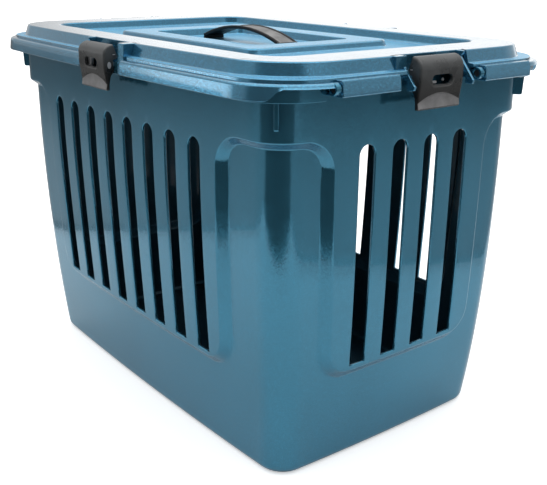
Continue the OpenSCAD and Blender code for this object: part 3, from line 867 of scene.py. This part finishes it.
def clip_cheeks(bag, squash, at, along, out):
    """The clip's two cheeks, bored for the pin, and the hook that catches the rim."""
    r, low = CLIP_R, -CLIP_DROP + 0.4
    edge = arc(0, 0, r - 0.9, CREST, 0, 18)
    edge += [(r - 0.9, -8), (r - 1.1, -12), (r - 1.7, -16), (r - 2.5, -20), (r - 2.9, -24), (r - 2.7, -29),
             (r - 3.2, low), (r - 4.5, low), (r - 4.8, -CLIP_DROP + 6), (4, -19), (1.0, -15), (1.0, -4.6),
             (-4, -3)]
    shape, axes, bore = squashed(edge, squash), (out, UP, along), circle(0, 0, CLIP_PIN_R + PLAY, 20)
    for c in (-24.0, 24.0):
        bag.prism(shape, c - 1.25, c + 1.25, at, axes, [bore])
    root = CLIP_R - CLIP_T
    hook = [(root - 0.9, -15.5), (0.6, -17.2), (0.6, -18.2), (root - 1.6, -26.5)]
    bag.prism(hook, -17, 17, at, axes)


def clip_highlights(bag, long_side, at, along, out):
    """Painted highlights of a clip, as light grey pieces: ovals on a side clip's cheeks, and a knob on a side
    clip and a bar and a dot on an end clip, seen through the window.
    """
    across = (along, UP, out)
    if long_side:
        oval = [(5.0 + 1.8 * c, -9.2 + 3.0 * s) for c, s in circle(0, 0, 1, 23)]
        for c in (-25.42, 25.42):
            bag.prism(oval, min(c, c * 0.99), max(c, c * 0.99), at, (out, UP, along))
        knob = rounded([(-13.6, -12.4, 2.6), (-6.4, -12.4, 2.6), (-6.4, -4.4, 3.2), (-13.6, -4.4, 3.2)])
        bag.prism(knob, 4.2, 6.6, at, across)
    else:
        bar = rounded([(-12, -11.2, 0.6), (-3, -11.2, 0.6), (-3, -9.4, 0.6), (-12, -9.4, 0.6)])
        bag.prism(bar, 4.8, 6.8, at, across)
        bag.prism(circle(5.5, -9.0, 1.3, 14), 4.8, 6.0, at, across)


def pin_end_highlights():
    """A painted highlight: a bright streak on each end of the clip pins, which stay still while the clips turn.
    """
    bag = Bag()
    streak = rounded([(-1.25, -0.5, 0.3), (1.25, -0.5, 0.3), (1.25, 0.5, 0.3), (-1.25, 0.5, 0.3)])
    for _, at, along, out in CLIPS:
        for c in (-25.41, 25.31):
            bag.prism(streak, c, c + 0.1, at, (out, UP, along))
    return bag.make("clip_pin_ends")


# ---------------------------------------------------------------- the handle

STRAP_HALF, STRAP_TOP, STRAP_FOOT = 64.6, 369.6, 357.5   # half length, height of its crown and its ends
LEG_X = 63
# (across, down) section of the strap, with raised edges
STRAP_SECTION = ((-12, 1.4), (-11.8, 0.3), (-11.0, 0), (-9.6, 0), (-8.9, 0.25), (-8.4, 0.8), (8.4, 0.8),
                 (8.9, 0.25), (9.6, 0), (11.0, 0), (11.8, 0.3), (12, 1.4), (11.6, 2.9), (10.8, 3.2),
                 (-10.8, 3.2), (-11.6, 2.9))


def strap():
    """The handle: its section swung along a circle's arc, and two straight legs with barbs."""
    rise = STRAP_TOP - STRAP_FOOT
    r = (STRAP_HALF ** 2 + rise ** 2) / (2 * rise)
    end = math.asin(STRAP_HALF / r)
    across, down = np.array(STRAP_SECTION).T
    turn, across, down = np.broadcast_arrays(np.linspace(-end, end, 49)[:, None], across, down)
    bag = Bag()
    x, z = (r - down) * np.sin(turn), STRAP_TOP - r + (r - down) * np.cos(turn)
    bag.add(*tube(np.stack([x, across, z], -1)))
    for x in (-LEG_X, LEG_X):
        for half_t, half_w, low, high in ((1.6, 12, 333, 357.8), (2.6, 15, 330, 333.2)):
            leg = [(-half_t, low), (half_t, low), (half_t, high), (-half_t, high)]
            bag.prism(leg, -half_w, half_w, (x, 0, 0), ((1, 0, 0), UP, (0, -1, 0)))
    return bag.make("handle_strap", 0.35, 2)


# ---------------------------------------------------------------- materials

class Nodes:
    """Short ways to add linked nodes to one tree."""

    def __init__(self, tree):
        self.tree = tree

    def add(self, kind, inputs=(), out=0, **props):
        """A node with its inputs set or linked; gives back one of its outputs."""
        node = self.tree.nodes.new(kind)
        for k, v in props.items():
            setattr(node, k, v)
        for k, v in dict(inputs).items():
            self.set(node.inputs[k], v)
        return node.outputs[out]

    def set(self, socket, v):
        """Links a socket to another node's output, or gives it a plain value."""
        if isinstance(v, bpy.types.NodeSocket):
            self.tree.links.new(v, socket)
        else:
            socket.default_value = v

    def math(self, op, *args):
        """Arithmetic on numbers."""
        return self.add("ShaderNodeMath", enumerate(args), operation=op)

    def vector(self, op, *args, out=0):
        """Arithmetic on vectors."""
        return self.add("ShaderNodeVectorMath", enumerate(args), out, operation=op)

    def dot(self, a, b):
        """How far a reaches along b."""
        return self.vector("DOT_PRODUCT", a, b, out=1)

    def step(self, x, lo, hi, a=0.0, b=1.0):
        """Smooth step of x from a at lo to b at hi."""
        inputs = {0: x, 1: lo, 2: hi, 3: a, 4: b}
        return self.add("ShaderNodeMapRange", inputs, interpolation_type="SMOOTHSTEP")

    def mix(self, f, a, b):
        """From colour a to colour b as f goes from 0 to 1."""
        return self.add("ShaderNodeMix", {0: f, 6: a, 7: b}, 2, data_type="RGBA")

    def grey(self, level):
        """A grey colour from one number."""
        return self.add("ShaderNodeCombineColor", {0: level, 1: level, 2: level})

    def shade(self, color, level):
        """A colour made lighter or darker by a number."""
        return self.add("ShaderNodeMix", {0: 1.0, 6: color, 7: self.grey(level)}, 2, data_type="RGBA",
                        blend_type="MULTIPLY")

    def object_place(self):
        """The place on the piece in its own coordinates, in metres."""
        return self.add("ShaderNodeTexCoord", out=3)

    def noise(self, where, scale, detail):
        """Cloudy noise about 0.5."""
        return self.add("ShaderNodeTexNoise", {"Vector": where, "Scale": scale, "Detail": detail})


def material(name, color, rough, metallic=0.0, coat=0.0, coat_rough=0.05, ior=1.47):
    """A principled material with plain sockets, and its node helper."""
    m = bpy.data.materials.new(name)
    m.use_nodes = True
    b = m.node_tree.nodes["Principled BSDF"]
    for k, v in (("Base Color", (*color, 1)), ("Roughness", rough), ("Metallic", metallic),
                 ("Coat Weight", coat), ("Coat Roughness", coat_rough), ("IOR", ior)):
        b.inputs[k].default_value = v
    return m, b, Nodes(m.node_tree)


def pearl(name, color, rough, metallic=0.75, coat=1.0, tilt=0.3, spark=0.35):
    """Pearl plastic: flakes of about 0.5 mm under a clear skin, turned by up to tilt and brightened by spark.

    Clouds of 11 cm change the shade by 5 % and smaller ones the roughness.
    """
    m, b, n = material(name, color, rough, metallic, coat, 0.045, 1.5)
    where = n.object_place()
    flake = n.add("ShaderNodeTexVoronoi", {"Vector": where, "Scale": 2100.0}, 1)
    turn = n.vector("MULTIPLY", n.vector("SUBTRACT", flake, (0.5, 0.5, 0.5)), (tilt, tilt, tilt))
    straight = n.add("ShaderNodeNewGeometry", out=1)
    n.set(b.inputs["Normal"], n.vector("NORMALIZE", n.vector("ADD", turn, straight)))
    level = n.add("ShaderNodeSeparateColor", {0: flake})
    glint = n.step(level, 0.55, 1.0, 1.0 - spark * 0.22, 1.0 + spark)
    cloud = n.step(n.noise(where, 9.0, 3.0), 0.3, 0.7, -0.05, 0.05)
    n.set(b.inputs["Base Color"], n.shade((*color, 1), n.math("ADD", glint, cloud)))
    patch = n.noise(where, 70.0, 2.0)
    n.set(b.inputs["Roughness"], n.step(patch, 0.3, 0.7, rough - 0.03, rough + 0.03))
    return m


def grained(name, color, rough, grain=900.0, depth=0.12, var=0.25, ior=1.5, painted_top_light=None):
    """Fine-grained plastic: noise as a bump, and wider noise in its roughness and, by var, in its shade.

    The last argument gives the two heights over which a painted highlight pales it upwards: 0.35 times its
    colour below them, 2.6 times above.
    """
    m, b, n = material(name, color, rough, ior=ior)
    where = n.object_place()
    fine = n.noise(where, grain, 3.0)
    bump = n.add("ShaderNodeBump", {"Strength": depth, "Distance": 0.0004, "Height": fine})
    n.set(b.inputs["Normal"], bump)
    wide = n.noise(where, 60.0, 4.0)
    n.set(b.inputs["Roughness"], n.step(wide, 0.3, 0.7, rough - 0.06, rough + 0.06))
    dark, light = ((*[c * k for c in color], 1) for k in (1 - var, 1 + var))
    shade = n.mix(n.step(wide, 0.3, 0.7), dark, light)
    if painted_top_light:
        # painted highlight: paler towards the top, darker below
        z = n.add("ShaderNodeSeparateXYZ", {0: where}, 2)
        shade = n.shade(shade, n.step(z, *painted_top_light, 0.35, 2.6))
    n.set(b.inputs["Base Color"], shade)
    return m


tub_blue = pearl("pearl_blue", (0.05, 0.24, 0.37), 0.14, coat=0.5, tilt=0.05, spark=0.25)
lid_blue = pearl("pearl_blue_lid", (0.065, 0.27, 0.43), 0.18, tilt=0.07, spark=0.45)
recess_blue = pearl("pearl_blue_grained", (0.17, 0.48, 0.72), 0.42, 0.55, coat=0.2, tilt=0.16, spark=0.5)
# painted shade: a dark copy of the tub's pearl stands for the shade inside the closed tub
inner_painted_shade_blue = pearl("pearl_blue_inner_painted_shade", (0.02, 0.075, 0.115), 0.42, coat=0.3)
# painted highlight: the clips' black is painted paler towards their tops, standing for the sky-lit crest
clip_black_painted_highlight = grained("clip_black_painted_highlight", (0.028, 0.03, 0.031), 0.3, painted_top_light=(0.332, 0.358))
strap_black = grained("strap_black", (0.008, 0.008, 0.009), 0.5, ior=1.3)
# painted highlight: the thumb pad's grey stands for the light from above that its upturned scoop catches
pad_painted_highlight = grained("thumb_pad_painted_highlight", (0.24, 0.24, 0.245), 0.5)
grip_grey = grained("grip_grey", (0.2, 0.2, 0.2), 0.5, grain=500.0, depth=0.5, var=0.5)
# painted highlight: light grey for the bright spots on the clips and the pin ends
painted_highlight_grey = grained("painted_highlight_grey", (0.42, 0.43, 0.45), 0.4)
pin_black = grained("pin_black", (0.02, 0.02, 0.021), 0.4)


# ---------------------------------------------------------------- every piece on its body

def dress(ob, mat):
    """One material for a whole piece."""
    ob.data.materials.clear()
    ob.data.materials.append(mat)


def dress_part(ob, mat, chosen):
    """A second material for the chosen faces, one flag for each."""
    ob.data.materials.append(mat)
    ob.data.polygons.foreach_set("material_index", [int(c) for c in chosen])


def put(ob, mat, body, node):
    """A piece that takes a CAD node's place and moves with its body."""
    dress(ob, mat)
    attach(ob, body)
    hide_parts(node)
    return ob


def dress_nodes():
    """Materials of the solids. Only the pins are seen; the others are replaced."""
    shells = {"tub": tub_blue, "lid": lid_blue, "handle": strap_black}
    for node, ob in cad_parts.items():
        dress(ob, shells.get(node, pin_black if "_pin_" in node else clip_black_painted_highlight))


def put_tub():
    """The tub, with painted shade in its darker inner skin, and its trim."""
    ob, is_inner = build_tub()
    put(ob, tub_blue, "tub_body", "tub")
    # painted shade on the inner skin's faces
    dress_part(ob, inner_painted_shade_blue, is_inner)
    put(build_trim(), tub_blue, "tub_body", "tub")


def put_lid():
    """The lid, grained on its level faces inside the raised edge, and what is moulded onto it."""
    ob = put(build_lid(), lid_blue, "lid_body", "lid")
    up = values(ob.data.polygons, "normal", 3)[:, 2]
    z = values(ob.data.polygons, "center", 3)[:, 2] / MM
    dress_part(ob, recess_blue, (up > 0.9) & (z > RECESS_Z - 3.5) & (z < ISLAND_Z + 0.5))
    put(lid_hardware(), lid_blue, "lid_body", "lid")
    # painted highlights on the clip pins' ends, carried by the lid
    put(pin_end_highlights(), painted_highlight_grey, "lid_body", "lid")


def put_handle():
    """The strap, with a grey grained grip along the middle of its top, from just left of the crown to its right
    end.
    """
    ob = put(strap(), strap_black, "handle_body", "handle")
    up = values(ob.data.polygons, "normal", 3)[:, 2]
    x, y, _ = values(ob.data.polygons, "center", 3).T / MM
    dress_part(ob, grip_grey, (up > 0.5) & (np.abs(y) < 1) & (x > -6))


def put_clip(name, at, along, out):
    """A clip with its thumb pad painted grey as a highlight, and its bright spots, which are painted
    highlights.
    """
    long_side = name in ON_LONG_SIDE
    squash = SIDE_SQUASH if long_side else 1.0
    node, body = "clip_" + name, "clip_" + name + "_body"
    bag, marks = Bag(), Bag()
    pad = clip_front(bag, clip_line(squash), at, along, out)
    clip_cheeks(bag, squash, at, along, out)
    ob = put(bag.make(node + "_moulded", 0.25, 2), clip_black_painted_highlight, body, node)
    # painted highlight: the thumb pad's faces get the grey
    dress_part(ob, pad_painted_highlight, np.isin(np.arange(len(ob.data.polygons)), pad))
    clip_highlights(marks, long_side, at, along, out)
    # painted highlights: the clip's bright spots in light grey
    put(marks.make(node + "_marks", 0.15, 2), painted_highlight_grey, body, node)


# ---------------------------------------------------------------- stage

TO_VIEWER = (0.617, -0.787, 0.0)           # level direction towards the camera, and the one to its right
TO_RIGHT = (0.787, 0.617, 0.0)
TABLE_MID, TABLE_HALF, TABLE_FRONT = (0.03, 0.024, 0.0), 0.613, 0.72   # a table square to the view, in m
VIEWER_AT = (0.21, -0.13, 0.0)             # the dim wedge of floor before the viewer spreads from here


def floor_shade(n):
    """How bright the floor is in reflections: a pale table, grey beyond it, and dim before the viewer."""
    spot = n.object_place()
    aside = n.math("ABSOLUTE", n.dot(n.vector("SUBTRACT", spot, TABLE_MID), TO_RIGHT))
    front = n.dot(spot, TO_VIEWER)
    width, depth = n.step(aside, TABLE_HALF, 0.62, 1.0, 0.0), n.step(front, TABLE_FRONT, 0.74, 1.0, 0.0)
    table = n.math("MULTIPLY", width, depth)
    beyond = n.math("MULTIPLY", n.step(aside, 0.64, 0.66, 0.14, 0.38), n.step(aside, 0.9, 2.6, 1.0, 0.2))
    off_table = n.math("MULTIPLY", n.math("SUBTRACT", 1.0, table), beyond)
    lit = n.math("ADD", n.math("MULTIPLY", table, 0.8), off_table)
    away = n.vector("NORMALIZE", n.vector("SUBTRACT", spot, VIEWER_AT))
    wedge = n.step(n.dot(away, TO_VIEWER), 0.62, 0.78)
    viewer = n.math("MULTIPLY", n.step(front, TABLE_FRONT, 0.74), wedge)
    return n.math("MULTIPLY", lit, n.step(viewer, 0.0, 1.0, 1.0, 0.1))


def floor():
    """A floor that is white to the camera and shaded in reflections."""
    me = bpy.data.meshes.new("floor")
    me.from_pydata([(-30, -30, 0), (30, -30, 0), (30, 30, 0), (-30, 30, 0)], [], [(0, 1, 2, 3)])
    ob = bpy.data.objects.new("floor", me)
    bpy.context.scene.collection.objects.link(ob)
    m, b, n = material("floor_white", (0.8, 0.8, 0.8), 0.7)
    seen = n.add("ShaderNodeLightPath", out=0)
    n.set(b.inputs["Base Color"], n.mix(seen, n.grey(floor_shade(n)), (0.9, 0.9, 0.9, 1)))
    n.set(b.inputs["Emission Color"], (1, 1, 1, 1))
    n.set(b.inputs["Emission Strength"], n.math("MULTIPLY", seen, 0.5))
    dress(ob, m)


def room_light(n):
    """The room's light by direction: brighter upwards and behind, a soft box at the left, a dim viewer."""
    way = n.add("ShaderNodeTexCoord", out=0)
    z = n.add("ShaderNodeSeparateXYZ", {0: way}, 2)
    toward, left = n.dot(way, TO_VIEWER), n.dot(way, (-0.74, -0.67, 0.0))
    far = n.dot(way, (-0.6, 0.8, 0.0))
    sky = n.step(z, 0.35, 0.9, 0.5, 1.6)
    wall = n.math("MULTIPLY", n.step(toward, -0.75, -0.3, 1.0, 0.0), n.step(z, 0.2, 0.5, 0.65, 0.0))
    behind = n.math("MULTIPLY", wall, n.step(far, 0.84, 0.93, 0.1, 1.0))
    box = n.math("MULTIPLY", n.step(left, 0.972, 0.992, 0.0, 2.2), n.step(z, 0.15, 0.3, 1.0, 0.0))
    viewer = n.math("MULTIPLY", n.step(toward, 0.6, 0.8), n.step(z, 0.6, 0.85, 1.0, 0.0))
    light = n.math("ADD", n.math("ADD", sky, behind), box)
    return n.math("MULTIPLY", light, n.step(viewer, 0.0, 1.0, 1.0, 0.2))


def room():
    """A world that is white to the camera and lights the keeper as the room does."""
    w = bpy.data.worlds.new("studio")
    bpy.context.scene.world = w
    w.use_nodes = True
    n = Nodes(w.node_tree)
    seen = n.add("ShaderNodeLightPath", out=0)
    unseen = n.math("MULTIPLY", room_light(n), n.math("SUBTRACT", 1.0, seen))
    back = w.node_tree.nodes["Background"]
    n.set(back.inputs["Color"], (1, 1, 1, 1))
    n.set(back.inputs["Strength"], n.math("ADD", unseen, seen))


IMAGE_W, IMAGE_H = 547, 485
FOCAL, MIDDLE_X, MIDDLE_Y = 847.13, 274.19, 241.1     # focal length and the optical axis, in pixels
CAMERA_AT = (0.71421, -0.52373, 0.4357)
YAW, PITCH_DOWN, ROLL = (math.radians(a) for a in (141.931, 18.556, 0.491))


def camera():
    """A camera looking along YAW and down by PITCH_DOWN, rolled, with its axis at MIDDLE_X, MIDDLE_Y."""
    level = math.cos(PITCH_DOWN)
    ahead = Vector((level * math.cos(YAW), level * math.sin(YAW), -math.sin(PITCH_DOWN)))
    right = ahead.cross(Vector(UP)).normalized()
    up = right.cross(ahead)
    rolled_right = right * math.cos(ROLL) + up * math.sin(ROLL)
    rolled_up = -right * math.sin(ROLL) + up * math.cos(ROLL)
    cam = bpy.data.cameras.new("camera")
    cam.sensor_width = 36
    cam.lens = FOCAL / IMAGE_W * cam.sensor_width
    cam.shift_x = -(MIDDLE_X - IMAGE_W / 2) / IMAGE_W
    cam.shift_y = (MIDDLE_Y - IMAGE_H / 2) / IMAGE_W
    ob = bpy.data.objects.new("camera", cam)
    turn = Matrix((rolled_right, rolled_up, -ahead)).transposed().to_4x4()
    turn.translation = Vector(CAMERA_AT)
    ob.matrix_world = turn
    bpy.context.scene.collection.objects.link(ob)
    bpy.context.scene.camera = ob


dress_nodes()
put_tub()
put_lid()
put_handle()
for clip in CLIPS:
    put_clip(*clip)
floor()
room()
camera()
bpy.context.scene.view_settings.view_transform = "Standard"
